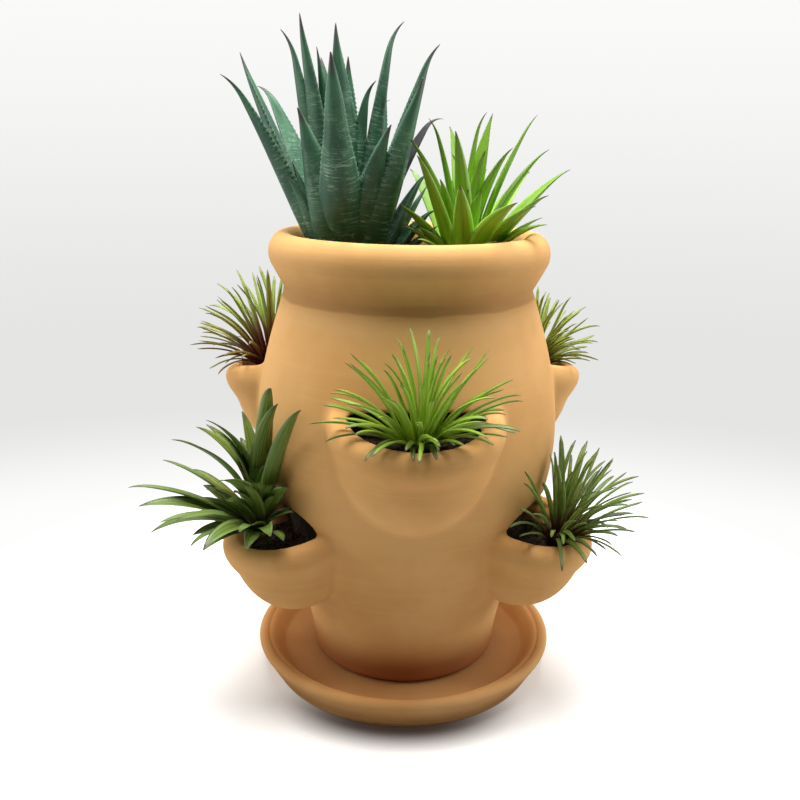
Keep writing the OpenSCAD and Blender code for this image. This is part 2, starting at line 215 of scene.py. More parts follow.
def soil_material():
    """Moist dark potting mix with a few brown fibres."""
    material, nodes, shader = new_material("potting_mix", 0.95, 0.2)
    place = nodes.place()
    clods = nodes.noise(place, 260.0, 4.0, 0.65)
    grain = nodes.noise(place, 1100.0, 3.0, 0.7)
    tone = nodes.mix(nodes.ramp(clods, 0.4, 0.66), (24, 17, 8), (58, 42, 24))
    tone = nodes.mix(nodes.math("MULTIPLY", nodes.ramp(grain, 0.62, 0.74), 0.7), tone, (98, 72, 42))
    nodes.put(shader, "Base Color", tone)
    nodes.put(shader, "Normal", nodes.bump(grain, 0.0006, 0.8, nodes.bump(clods, 0.0012, 0.8)))
    return material


class Leaf:
    """A leaf's material and what it starts from: the share of the length, millimetres along, the
    place across from -1 to 1, its distance from the midrib, and a number of the leaf's own."""

    def __init__(self, name, roughness, tone, specular=0.5):
        self.material, self.nodes, self.shader = new_material(name, roughness, specular)
        self.tone = tone
        blade = self.nodes.add("Attribute", attribute_name="blade")
        self.share, self.across, self.along = self.nodes.split(blade.outputs["Vector"])
        self.number = self.nodes.add("Attribute", attribute_name="leaf_number").outputs["Fac"]
        self.edge = self.nodes.math("ABSOLUTE", self.across)

    def streaks(self, across, along, detail=2.0, distortion=0.0):
        """Noise in the leaf's own directions, other on every leaf."""
        nodes = self.nodes
        vector = nodes.add("CombineXYZ", nodes.math("MULTIPLY", self.across, across),
                           nodes.math("MULTIPLY", self.along, along),
                           nodes.math("MULTIPLY", self.number, 37.0))
        return nodes.noise(vector.outputs[0], 1.0, detail, 0.55, distortion)

    def lay(self, factor, rgb):
        """Lays a colour over the tone."""
        self.tone = self.nodes.mix(factor, self.tone, rgb)

    def over(self, value, low, high, rgb, most=1.0):
        """Lays a colour over the tone, from none where a value is low to its most where it is high."""
        self.lay(self.nodes.ramp(value, low, high, 0.0, most), rgb)

    def finish(self, height, distance):
        self.nodes.put(self.shader, "Base Color", self.tone)
        self.nodes.put(self.shader, "Normal", self.nodes.bump(height, distance, 0.6))
        return self.material


def aloe_material():
    """Dull blue-green with pale cross ripples, a fresher heart, purplish tips and two dark leaves."""
    leaf = Leaf("aloe_leaf", 0.48, (30, 76, 50), 0.45)
    nodes = leaf.nodes
    cloud = leaf.streaks(1.2, 0.05, 3.0)
    leaf.over(cloud, 0.35, 0.65, (54, 102, 70))
    heart = nodes.math("MULTIPLY", nodes.ramp(leaf.share, 0.5, 0.05), nodes.ramp(leaf.number, 0.25, 1.0))
    leaf.lay(nodes.math("MULTIPLY", heart, 0.75), (40, 96, 44))
    leaf.over(leaf.edge, 0.86, 1.0, (122, 152, 126), 0.45)
    ripples = leaf.streaks(0.5, 0.5, 2.0, 0.35)
    thin = nodes.ramp(nodes.math("ABSOLUTE", nodes.math("SUBTRACT", ripples, 0.52)), 0.034, 0.0)
    fade = nodes.math("MULTIPLY", nodes.ramp(leaf.share, 0.86, 0.5), nodes.ramp(leaf.share, 0.0, 0.08))
    line = nodes.math("MULTIPLY", nodes.math("MULTIPLY", thin, fade), nodes.ramp(cloud, 0.3, 0.6))
    leaf.lay(nodes.math("MULTIPLY", line, 0.55), (170, 198, 180))
    leaf.over(leaf.share, 0.88, 0.99, (62, 50, 52))
    leaf.over(leaf.share, 0.2, 0.0, (22, 44, 26), 0.6)
    leaf.over(leaf.number, 0.95, 0.99, (26, 28, 30))
    height = nodes.math("ADD", nodes.math("MULTIPLY", line, 0.8), nodes.math("MULTIPLY", cloud, 0.3))
    return leaf.finish(height, 0.0005)


def yucca_material():
    """Bright green, yellower at the foot, finely grooved, with brown tips."""
    leaf = Leaf("yucca_leaf", 0.42, (118, 170, 24))
    grooves = leaf.streaks(9.0, 0.012)
    leaf.over(grooves, 0.35, 0.65, (146, 192, 48))
    leaf.over(leaf.share, 0.5, 0.02, (190, 232, 60))
    leaf.over(leaf.share, 0.5, 0.95, (96, 124, 38), 0.6)
    leaf.over(leaf.edge, 0.8, 1.0, (176, 198, 110), 0.35)
    leaf.over(leaf.share, 0.93, 0.99, (84, 66, 44))
    return leaf.finish(grooves, 0.0002)


def dracaena_material():
    """Dark green with a sheen, brownish at the foot and along the midrib."""
    leaf = Leaf("dracaena_leaf", 0.34, (84, 108, 34))
    nodes = leaf.nodes
    grooves = leaf.streaks(7.0, 0.02)
    leaf.over(grooves, 0.35, 0.65, (130, 152, 78))
    leaf.over(leaf.number, 0.4, 1.0, (66, 106, 26), 0.5)
    rib = nodes.math("MULTIPLY", nodes.ramp(leaf.edge, 0.3, 0.0), nodes.ramp(leaf.share, 0.75, 0.1))
    leaf.lay(nodes.math("MULTIPLY", rib, 0.55), (112, 70, 46))
    leaf.over(leaf.share, 0.28, 0.0, (80, 56, 30), 0.7)
    leaf.over(leaf.edge, 0.75, 1.0, (140, 152, 104), 0.4)
    leaf.over(leaf.share, 0.86, 1.0, (60, 56, 42), 0.75)
    return leaf.finish(grooves, 0.0004)


def grass_material(name, foot, high, low, under, tip, reach):
    """Narrow blades: a foot colour up to a share of the length, a green that gets darker away from the
    middle of the tuft, the colour of the lowest blades, and a tip."""
    leaf = Leaf(name, 0.42, high)
    grooves = leaf.streaks(4.0, 0.03)
    leaf.over(leaf.number, 0.05, 0.75, low)
    leaf.over(grooves, 0.35, 0.7, [min(255, c * 1.2) for c in high], 0.4)
    leaf.over(leaf.share, reach, 0.35 * reach, foot)
    leaf.over(leaf.number, 0.72, 0.95, under, 0.8)
    leaf.over(leaf.share, 0.86, 1.0, tip, 0.8)
    return leaf.finish(grooves, 0.0003)


def stem_material(name, low, high):
    material, nodes, shader = new_material(name, 0.6)
    rings = nodes.noise(nodes.vector("MULTIPLY", nodes.place(), (60.0, 60.0, 500.0)), 1.0)
    nodes.put(shader, "Base Color", nodes.mix(nodes.ramp(rings, 0.35, 0.65), low, high))
    nodes.put(shader, "Normal", nodes.bump(rings, 0.0003, 0.6))
    return material


# ---- meshes ----


def new_piece(name, points, faces, material, body, replaced=(), floats=None, vectors=None):
    """A smooth mesh, from points in millimetres, that rides on a body and may replace CAD nodes."""
    mesh = bpy.data.meshes.new(name)
    mesh.from_pydata((np.asarray(points) * MM).tolist(), [], faces)
    mesh.polygons.foreach_set("use_smooth", [True] * len(mesh.polygons))
    for key, values in (floats or {}).items():
        mesh.attributes.new(key, "FLOAT", "POINT").data.foreach_set("value", np.ravel(values))
    for key, values in (vectors or {}).items():
        mesh.attributes.new(key, "FLOAT_VECTOR", "POINT").data.foreach_set("vector", np.ravel(values))
    mesh.materials.append(material)
    mesh.update()
    piece = add_object(name, mesh)
    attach(piece, body)
    if replaced:
        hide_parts(*replaced)
    return piece


def arc(cx, cz, rx, rz, start, end, steps):
    """Points on an elliptical arc, as [radius, height]."""
    angles = [radians(start + (end - start) * i / steps) for i in range(steps + 1)]
    return [[cx + rx * cos(a), cz + rz * sin(a)] for a in angles]


def revolve(outline, segments):
    """A closed surface from an outline of [radius, height] that starts and ends on the axis."""
    count = len(outline) - 2
    points = [[0, 0, outline[0][1]], [0, 0, outline[-1][1]]]
    for s in range(segments):
        a = 2 * pi * s / segments
        points += [[r * cos(a), r * sin(a), z] for r, z in outline[1:-1]]
    faces = []
    for s in range(segments):
        here = 2 + s * count
        there = 2 + (s + 1) % segments * count
        faces += [[0, there, here], [1, here + count - 1, there + count - 1]]
        faces += [[here + i, there + i, there + i + 1, here + i + 1] for i in range(count - 1)]
    return points, faces


# ---- distance surfaces ----


class Revolved:
    """Signed distance to a revolved outline, negative inside, looked up in a table."""

    STEP = 0.5
    MARGIN = 40.0

    def __init__(self, outline):
        outline = np.asarray(outline, float)
        self.low = outline[:, 1].min() - self.MARGIN
        radii = np.arange(0, outline[:, 0].max() + self.MARGIN, self.STEP)
        heights = np.arange(self.low, outline[:, 1].max() + self.MARGIN, self.STEP)
        r, z = np.meshgrid(radii, heights, indexing="ij")
        nearest = np.full(r.shape, 1e9)
        inside = np.zeros(r.shape, bool)
        for a, b in zip(outline, np.roll(outline, -1, axis=0)):
            if a[1] != b[1]:
                crosses = (a[1] > z) != (b[1] > z)
                inside ^= crosses & (r < a[0] + (z - a[1]) / (b[1] - a[1]) * (b[0] - a[0]))
            if a[0] <= 0 and b[0] <= 0:
                continue
            d = b - a
            t = np.clip(((r - a[0]) * d[0] + (z - a[1]) * d[1]) / (d @ d), 0, 1)
            nearest = np.minimum(nearest, np.hypot(r - a[0] - t * d[0], z - a[1] - t * d[1]))
        self.table = np.where(inside, -nearest, nearest).astype(np.float32)

    def at(self, p):
        """Distances at points, an array of three rows."""
        r = np.hypot(p[0], p[1]) / self.STEP
        z = (p[2] - self.low) / self.STEP
        rows, columns = self.table.shape
        r = np.clip(r, 0, rows - 1.001)
        z = np.clip(z, 0, columns - 1.001)
        i, j = r.astype(np.int32), z.astype(np.int32)
        u, v = r - i, z - j
        t = self.table
        below = t[i, j] * (1 - u) + t[i + 1, j] * u
        above = t[i, j + 1] * (1 - u) + t[i + 1, j + 1] * u
        return below * (1 - v) + above * v


def melt(a, b, radius):
    """Union of two distances with a soft fillet."""
    h = np.clip(0.5 + 0.5 * (b - a) / radius, 0, 1)
    return b + (a - b) * h - radius * h * (1 - h)


def carve(a, b, radius):
    """Distance a less distance b, with a rounded edge."""
    return -melt(-a, b, radius)


def turned(p, angle, axis):
    """Points, an array of three rows, turned about X (axis 0) or Z (axis 2)."""
    c, s = np.float32(cos(radians(angle))), np.float32(sin(radians(angle)))
    x, y, z = p
    return np.stack([x, c * y - s * z, s * y + c * z] if axis == 0 else [c * x - s * y, s * x + c * y, z])


# How often a surface's points are moved to where the distance is 0, and the step that finds its slope
SETTLE_ROUNDS, PROBE = 3, 0.2


def surface(distance, low, high, step):
    """Points and four-sided faces of the surface where a distance is 0, by surface nets."""
    axes = [np.arange(a, b + step, step, dtype=np.float32) for a, b in zip(low, high)]
    shape = tuple(len(a) for a in axes)
    values = np.empty(shape, np.float32)
    for i, x in enumerate(axes[0]):
        y, z = np.meshgrid(axes[1], axes[2], indexing="ij")
        layer = np.stack([np.full(y.size, x, np.float32), y.ravel(), z.ravel()])
        values[i] = distance(layer).reshape(y.shape)
    inside = values < 0
    strides = np.array([shape[1] * shape[2], shape[2], 1])
    sums = np.zeros((values.size, 3))
    counts = np.zeros(values.size)
    quads = []
    for axis in range(3):
        u, v = (axis + 1) % 3, (axis + 2) % 3
        first = [slice(None)] * 3
        second = [slice(None)] * 3
        first[axis], second[axis] = slice(0, -1), slice(1, None)
        crossing = np.argwhere(inside[tuple(first)] != inside[tuple(second)])
        crossing = crossing[(crossing[:, u] > 0) & (crossing[:, v] > 0)]
        flat = crossing @ strides
        a, b = values.ravel()[flat], values.ravel()[flat + strides[axis]]
        place = crossing.astype(float)
        place[:, axis] += a / (a - b)
        cells = [flat, flat - strides[u], flat - strides[u] - strides[v], flat - strides[v]]
        for cell in cells:
            for k in range(3):
                sums[:, k] += np.bincount(cell, place[:, k], values.size)
            counts += np.bincount(cell, minlength=values.size)
        quad = np.stack(cells, 1)
        quads.append(np.where((a < 0)[:, None], quad, quad[:, ::-1]))
    used = np.flatnonzero(counts)
    index = np.full(values.size, -1)
    index[used] = np.arange(len(used))
    points = (np.array(low) + sums[used] / counts[used, None] * step).T.astype(np.float32)
    probes = PROBE * np.eye(3, dtype=np.float32)[:, :, None]
    for _ in range(SETTLE_ROUNDS):
        here = distance(points)
        slope = np.stack([(distance(points + e) - here) / PROBE for e in probes])
        points = points - slope * here / np.maximum((slope ** 2).sum(0), 0.3)
    return points.T, index[np.concatenate(quads)].tolist()


# ---- jar ----

# The foot stands on the saucer's floor, FOOT_Z above the table. The rim, the soil's level and the spaces
# that are searched are given from the table too, and all other heights of the jar from its foot.
FOOT_Z = 12
JAR_H = 290
RIM_Z = FOOT_Z + JAR_H
FOOT_R, FOOT_ROUND = 64, 6
BELLY_R, BELLY_H, BELLY_POWER = 99.5, 162, 1.9
NECK_R, NECK_H = 80, 255
RIM_R, MOUTH_R, RIM_ROUND = 90, 71, 25
WALL, BASE, DRAIN_R = 8, 11, 8
SOIL_Z = RIM_Z - 34
POCKET_DROP = 8
LIP_W, LIP_H, BOWL_WALL = 12, 13, 8
# How much narrower than the lip the bowl is, outside and for its hollow
SHOWN_STEP, LIP_STEP = 1.5, 5
# Degrees by which the lip dips outwards and the bowl swings in, and the rise of the lip's two ends
LIP_DIP, BOWL_SWING, LIP_RISE = 7, 9, 2.5
# A pocket is [angle, reach, lip height above the foot, lip radius, depth, arch height]
UPPER_POCKETS = [[a, 86, 195 if a else 189, 50, 72, 9] for a in (0, 120, 240)]
LOWER_POCKETS = [[a, 90, 106, 41, 57, 18] for a in (60, 180, 300)]
POCKETS = UPPER_POCKETS + LOWER_POCKETS
# Radii of the fillets: bowl to body, lip to bowl, cut edges, drain hole
SOFT_BOWL, SOFT_LIP, SOFT_EDGE, SOFT_DRAIN = 4, 14, 2.5, 1.5
# Corners of the spaces in which the two surfaces are searched, and the fine and the quick step
JAR_SPACE, JAR_STEPS = ((-146, -146, 8), (146, 146, 306)), (1.5, 3.0)
SOIL_SPACE, SOIL_STEPS = ((-130, -130, 18), (130, 130, 274)), (2.4, 4.0)


def body_r(h):
    """Outside radius of the body at a height above the foot."""
    if h <= BELLY_H:
        return FOOT_R + (BELLY_R - FOOT_R) * sin(pi / 2 * h / BELLY_H) ** BELLY_POWER
    return NECK_R + (BELLY_R - NECK_R) * cos(pi / 2 * (h - BELLY_H) / (NECK_H - BELLY_H))


def jar_body():
    crown, half = (RIM_R + MOUTH_R) / 2, (RIM_R - MOUTH_R) / 2
    side = [FOOT_ROUND + (NECK_H - FOOT_ROUND) * i / 48 for i in range(1, 48)]
    return Revolved(
        [[0, 0]] + arc(FOOT_R - FOOT_ROUND, FOOT_ROUND, FOOT_ROUND, FOOT_ROUND, -90, -15, 8)
        + [[body_r(h), h] for h in side] + [[NECK_R, NECK_H]]
        + arc(crown, JAR_H - RIM_ROUND / 2, half, RIM_ROUND / 2, -38, 180, 28)
        + [[MOUTH_R, NECK_H + 2], [0, NECK_H + 2]])


def jar_cavity(gap):
    side = [BASE + 4 + (NECK_H - 4 - BASE) * i / 32 for i in range(1, 32)]
    mouth = MOUTH_R - gap
    return Revolved([[0, BASE + gap], [body_r(BASE) - WALL - gap - 6, BASE + gap]]
                    + [[body_r(h) - WALL - gap, h] for h in side]
                    + [[mouth, NECK_H + 3], [mouth, JAR_H + 30], [0, JAR_H + 30]])


class Pocket:
    """One pocket: its lip and bowl, and the hollow and arch inside them."""

    def __init__(self, pocket, gap=0.0):
        self.angle, self.reach, self.height, r, depth, arch = pocket
        self.size = r + depth
        throat, hollow = r - LIP_W - gap, r - LIP_STEP - BOWL_WALL - gap
        self.lip_r = r
        self.lip = Revolved([[0, 0]] + arc(r - LIP_W / 2, -LIP_H / 2, LIP_W / 2, LIP_H / 2, 90, -60, 16)
                            + [[0, -LIP_H]])
        self.bowl = Revolved([[0, -LIP_H / 2]] + arc(0, -LIP_H, r - SHOWN_STEP, depth - LIP_H, 14, -90, 24))
        self.throat = Revolved(
            [[0, -LIP_H]] + arc(r - LIP_W / 2, -LIP_H / 2, LIP_W / 2 + gap, LIP_H / 2, 200, 120, 8)
            + arc(0, 0, throat + 3, arch - gap, 0, 90, 12))
        self.hollow = Revolved([[0, -LIP_H / 2]]
                               + arc(0, -LIP_H, hollow, depth - LIP_H - BOWL_WALL - gap, 20, -90, 20))

    def local(self, p):
        """Points in the lip's frame, with -Y outwards, and in the bowl's frame that is swung in."""
        q = turned(p, -self.angle, 2)
        q = np.stack([q[0], q[1] + self.reach, q[2] - self.height])
        q = turned(q, -LIP_DIP, 0)
        lifted = np.stack([q[0], q[1], q[2] - LIP_RISE * np.clip(np.abs(q[0]) / self.lip_r, 0, 1.2) ** 2])
        return lifted, turned(lifted, -BOWL_SWING, 0)

    def near(self, p):
        a = radians(self.angle)
        centre = (self.reach * sin(a), -self.reach * cos(a), self.height)
        return sum((row - c) ** 2 for row, c in zip(p, centre)) < self.size ** 2


class Jar:
    """Distance to the jar, in millimetres above the foot."""

    def __init__(self):
        self.body = jar_body()
        self.cavity = jar_cavity(0)
        self.drain = Revolved([[0, -9], [DRAIN_R, -9], [DRAIN_R, BASE + 9], [0, BASE + 9]])
        self.pockets = [Pocket(p) for p in POCKETS]

    def at(self, points):
        p = np.stack([points[0], points[1], points[2] - FOOT_Z])
        outside = self.body.at(p)
        near = [pocket.near(p) for pocket in self.pockets]
        frames = []
        for pocket, mask in zip(self.pockets, near):
            lip_frame, bowl_frame = pocket.local(p[:, mask])
            frames.append((lip_frame, bowl_frame))
            shape = melt(pocket.bowl.at(bowl_frame), pocket.lip.at(lip_frame), SOFT_LIP)
            outside[mask] = melt(outside[mask], shape, SOFT_BOWL)
        shape = carve(outside, self.cavity.at(p), SOFT_EDGE)
        for pocket, mask, (lip_frame, bowl_frame) in zip(self.pockets, near, frames):
            inside = melt(pocket.throat.at(lip_frame), pocket.hollow.at(bowl_frame), SOFT_EDGE)
            shape[mask] = carve(shape[mask], inside, SOFT_EDGE)
        return carve(shape, self.drain.at(p), SOFT_DRAIN)


# Spacing and height of the soil's waves
LUMP_SIZE, LUMP_H = 6, 1.0


def lumps(x, y):
    """The soil's rolling surface, made of a few crossing waves."""
    u, v = x / LUMP_SIZE, y / LUMP_SIZE
    a = np.sin(u + 1.3 * np.sin(v * 0.7)) * np.cos(v * 1.1 + np.sin(u * 0.6))
    b = np.sin(u * 2.7 + 2) * np.sin(v * 2.3 + 1.2 * np.sin(u * 1.9))
    return LUMP_H * (0.65 * a + 0.35 * b)


class Soil:
    """Distance to the potting mix that fills the jar and its pockets."""

    GAP = 0.3

    def __init__(self):
        self.cavity = jar_cavity(self.GAP)
        self.pockets = [Pocket(p, self.GAP) for p in POCKETS]

    def at(self, points):
        p = np.stack([points[0], points[1], points[2] - FOOT_Z])
        rough = lumps(p[0], p[1]) - LUMP_H
        shape = np.maximum(self.cavity.at(p), p[2] - (SOIL_Z - FOOT_Z) - rough)
        for pocket in self.pockets:
            mask = pocket.near(p)
            lip_frame, bowl_frame = pocket.local(p[:, mask])
            inside = melt(pocket.throat.at(lip_frame), pocket.hollow.at(bowl_frame), SOFT_EDGE)
            level = pocket.height - POCKET_DROP
            filling = np.maximum(inside, p[2][mask] - level - rough[mask])
            shape[mask] = np.minimum(shape[mask], filling)
        return shape


def make_jar(material):
    fine, coarse = JAR_STEPS
    points, faces = surface(Jar().at, *JAR_SPACE, fine)
    new_piece("jar_shell", points, faces, material, "jar", ["jar"])


def make_soil(material):
    fine, coarse = SOIL_STEPS
    points, faces = surface(Soil().at, *SOIL_SPACE, fine)
    new_piece("soil_bed", points, faces, material, "jar", ["potting_soil"])


CRUMBS_IN_MOUTH, CRUMBS_IN_POCKET = 900, 170
# How deep a crumb's middle sits, and how far the crumbs keep from the clay
CRUMB_SUNK, CRUMB_CLEAR = 0.8, 4


def crumb(centre, size):
    """A small irregular lump, an octahedron with shifted corners."""
    corners = np.array([[1, 0, 0], [0, 1, 0], [-1, 0, 0], [0, -1, 0], [0, 0, 1], [0, 0, -1]], float)
    stretch = rng.uniform(0.55, 1.25, 3)
    turn = np.array(Matrix.Rotation(rng.uniform(0, 6.28), 3, Vector(rng.normal(size=3))))
    corners = (corners * stretch + rng.uniform(-0.25, 0.25, (6, 3))) @ turn.T * size
    faces = [[i, (i + 1) % 4, 4] for i in range(4)] + [[(i + 1) % 4, i, 5] for i in range(4)]
    return corners + centre, faces


def make_crumbs(material):
    """Loose bits of bark and peat on the soil of the mouth and of every pocket."""
    points, faces = [], []

    def scatter(count, place):
        for _ in range(count):
            centre = place()
            size = 0.7 + 1.6 * rng.random() ** 2
            corners, sides = crumb(centre, size)
            faces.extend([[i + len(points) for i in side] for side in sides])
            points.extend(corners.tolist())

    def in_mouth():
        r, a = (MOUTH_R - CRUMB_CLEAR) * rng.random() ** 0.5, rng.uniform(0, 2 * pi)
        x, y = r * cos(a), r * sin(a)
        return np.array([x, y, SOIL_Z - CRUMB_SUNK + lumps(x, y)])

    scatter(CRUMBS_IN_MOUTH, in_mouth)
    for angle, reach, height, lip_r, _, _ in POCKETS:
        def in_pocket():
            r, a = (lip_r - LIP_W - CRUMB_CLEAR) * rng.random() ** 0.5, rng.uniform(0, 2 * pi)
            x, y = r * cos(a), -reach + r * sin(a)
            c, s = cos(radians(angle)), sin(radians(angle))
            x, y = c * x - s * y, s * x + c * y
            return np.array([x, y, FOOT_Z + height - POCKET_DROP - CRUMB_SUNK + lumps(x, y)])
        scatter(CRUMBS_IN_POCKET, in_pocket)
    crumbs = new_piece("soil_crumbs", points, faces, material, "jar")
    crumbs.data.polygons.foreach_set("use_smooth", [False] * len(crumbs.data.polygons))


# ---- saucer ----

SAUCER_BASE_R, SAUCER_R, SAUCER_H, SAUCER_EDGE = 92.5, 103, 24, 1.2
# The top of its wall: half widths outside and inside, half height, and how far below the full height
CREST_OUT, CREST_IN, CREST_H, CREST_DOWN = 3.2, 4.2, 3.2, 4.2
# The flat part inside, the rise from there to the top, and the power that shapes the slope
SAUCER_FLAT_R, SAUCER_RISE, SAUCER_POWER = 84.5, 9.3, 0.8


def make_saucer(material):
    crown, top, steps = SAUCER_R - CREST_OUT, SAUCER_H - CREST_DOWN, 14
    slope_r, base = crown - CREST_IN, SAUCER_BASE_R - SAUCER_EDGE
    inside = [[slope_r - (slope_r - SAUCER_FLAT_R) * i / steps,
               FOOT_Z + SAUCER_RISE * (0.5 + 0.5 * cos(pi * i / steps)) ** SAUCER_POWER]
              for i in range(steps + 1)]
    outline = ([[0, 0], [base, 0]] + arc(base, SAUCER_EDGE, SAUCER_EDGE, SAUCER_EDGE, -90, -30, 3)
               + arc(crown, top, CREST_OUT, CREST_H, -32, 90, 12)
               + arc(crown, top, CREST_IN, CREST_H, 90, 150, 6) + inside + [[0, FOOT_Z]])
    points, faces = revolve(outline, 192)
    new_piece("saucer_dish", points, faces, material, "saucer", ["saucer"])


# ---- plants ----

COLLAR_H, COLLAR_GAP = 5, 0.3
STEM_BORE = 2.85
# Lean of the plants, and how far outside the middle of their pockets they stand
MOUTH_LEAN, UPPER_LEAN, LOWER_LEAN = 8, 14, 26
UPPER_OUT, LOWER_OUT = 21, 17

# The places of the plants: [angle, distance, height, lean]. In a pocket they are level with its lip.
PLANTS = {"aloe": [278, 38, SOIL_Z + 5, MOUTH_LEAN], "yucca": [65, 36, SOIL_Z + 7, MOUTH_LEAN]}
for names, pockets, out, lean in (
        (("front_grass", "rear_right_grass", "rear_left_grass"), UPPER_POCKETS, UPPER_OUT, UPPER_LEAN),
        (("right_grass", "rear_grass", "dracaena"), LOWER_POCKETS, LOWER_OUT, LOWER_LEAN)):
    for name, (angle, reach, height, *_) in zip(names, pockets):
        PLANTS[name] = [angle, reach + out, FOOT_Z + height - out * tan(radians(LIP_DIP)), lean]

# How a kind of leaf is made: [share of the length, share of the width] along it, the depths of the
# keel and of the groove as shares of the width, rows along and steps across, and the height of its
# teeth. Arch is the range of degrees of curl that are added while the tip stays where it was, hook
# the range by which the tip bends over, and sway and twist are how far the middle of a leaf swings
# sideways, as a share of the length, and turns, in degrees.
LOOKS = {
    "aloe": dict(
        form=[[0, 0.74], [0.12, 0.92], [0.3, 1], [0.5, 0.86], [0.7, 0.58], [0.86, 0.31], [0.95, 0.13],
              [1, 0.03]],
        keel=0.42, groove=0.1, rows=84, across=8, teeth=0.8,
        arch=(-4, 12), hook=(-15, 50), sway=0.02, twist=24),
    "aloe_front": dict(
        form=[[0, 0.5], [0.12, 0.62], [0.27, 0.96], [0.38, 1], [0.5, 0.84], [0.66, 0.56], [0.84, 0.34],
              [0.94, 0.15], [1, 0.03]],
        keel=0.36, groove=0.06, rows=84, across=8, teeth=0.6,
        arch=(-2, 2), hook=(5, 15), sway=0.0, twist=2),
    "aloe_dark": dict(
        form=[[0, 0.7], [0.3, 1], [0.6, 0.8], [0.85, 0.4], [0.95, 0.15], [1, 0.03]],
        keel=0.3, groove=0.08, rows=60, across=6, teeth=0.5,
        arch=(-6, 0), hook=(60, 90), sway=0.02, twist=20),
    "yucca": dict(
        form=[[0, 0.7], [0.2, 0.96], [0.42, 1], [0.65, 0.8], [0.85, 0.42], [0.95, 0.17], [1, 0.04]],
        keel=0.3, groove=0.12, rows=30, across=6, teeth=0,
        arch=(14, 38), hook=(0, 25), sway=0.03, twist=26),
    "dracaena": dict(
        form=[[0, 0.6], [0.2, 0.95], [0.45, 1], [0.7, 0.85], [0.88, 0.52], [0.96, 0.25], [1, 0.08]],
        keel=0.2, groove=0.16, rows=30, across=6, teeth=0,
        arch=(36, 66), hook=(0, 20), sway=0.04, twist=34),
    "grass": dict(
        form=[[0, 0.8], [0.15, 1], [0.55, 1], [0.85, 0.86], [0.95, 0.66], [1, 0.25]],
        keel=0.45, groove=0.04, rows=14, across=3, teeth=0,
        arch=(6, 34), hook=(-8, 24), sway=0.05, twist=40),
}
# The least width of a leaf as a share of its greatest, so that its tip stays open
THINNEST = 0.015


def smooth_form(form, t):
    """A smooth curve through the form's points."""
    knots = np.array(form)
    slopes = np.gradient(knots[:, 1], knots[:, 0])
    i = np.clip(np.searchsorted(knots[:, 0], t, side="right") - 1, 0, len(knots) - 2)
    span = knots[i + 1, 0] - knots[i, 0]
    u = (t - knots[i, 0]) / span
    a, b = knots[i, 1], knots[i + 1, 1]
    ease = (2 * u - 3) * u * u
    share = a * (1 + ease) - b * ease + span * u * (1 - u) * ((1 - u) * slopes[i] - u * slopes[i + 1])
    return np.maximum(share, THINNEST)


def leaf_mesh(leaf, look):
    """Points, faces and blade places of one leaf, in its plant's upright frame.

    A leaf is [azimuth, lean, length, width, curl, start radius, start height]."""
    azimuth, lean, length, width, curl, r0, z0 = leaf
    rows, across = look["rows"], look["across"]
    t = np.linspace(0, 1, rows + 1) ** 0.95
    arch = rng.uniform(*look["arch"])
    length *= np.sinc(curl / 360) / np.sinc((curl + arch) / 360)
    hook = rng.uniform(*look["hook"]) * np.clip((t - 0.84) / 0.16, 0, 1) ** 1.5
    turn = np.radians(lean - arch / 2 + (curl + arch) * t + hook)
    step = length * np.diff(t)
    middle = (turn[1:] + turn[:-1]) / 2
    out = r0 + np.concatenate([[0], np.cumsum(step * np.sin(middle))])
    up = z0 + np.concatenate([[0], np.cumsum(step * np.cos(middle))])
    half = width / 2 * smooth_form(look["form"], t)
    sway = length * look["sway"] * rng.uniform(-1, 1) * np.sin(pi * t)
    twist = np.radians(look["twist"] * rng.uniform(-1, 1) * np.sin(pi * t * 0.9))
    s = np.concatenate([np.linspace(-1, 1, across + 1), np.linspace(1, -1, across + 1)[1:-1]])
    upper = np.concatenate([np.ones(across + 1), np.zeros(across - 1)])
    bulge = (1 - s ** 2) ** np.where(upper > 0, 1.0, 0.75)
    depth = -2 * bulge * np.where(upper > 0, look["groove"], look["keel"])
    side = half[:, None] * s[None, :]
    lift = half[:, None] * depth[None, :]
    if look["teeth"]:
        margin = (np.abs(s) > 0.99)[None, :] * np.sign(s)[None, :]
        tooth = (look["teeth"] * (np.arange(rows + 1) % 2)
                 * np.clip(t * 12, 0, 1) * np.clip((0.9 - t) * 6, 0, 1))
        side = side + margin * tooth[:, None]
    c, w = np.cos(twist)[:, None], np.sin(twist)[:, None]
    side, lift = side * c - lift * w, side * w + lift * c
    points = np.stack([
        side + sway[:, None],
        -(out[:, None] - lift * np.cos(turn)[:, None]),
        up[:, None] + lift * np.sin(turn)[:, None]], -1)
    points = points.reshape(-1, 3)
    around = len(s)
    faces = [[i * around + k, i * around + (k + 1) % around, (i + 1) * around + (k + 1) % around,
              (i + 1) * around + k] for i in range(rows) for k in range(around)]
    faces += [list(range(around))[::-1], [rows * around + k for k in range(around)]]
    a = radians(azimuth)
    x, y = points[:, 0].copy(), points[:, 1].copy()
    points[:, 0], points[:, 1] = cos(a) * x - sin(a) * y, sin(a) * x + cos(a) * y
    blade = np.stack([np.repeat(t, around), np.tile(s, rows + 1), np.repeat(t * length, around)], -1)
    return points, faces, blade


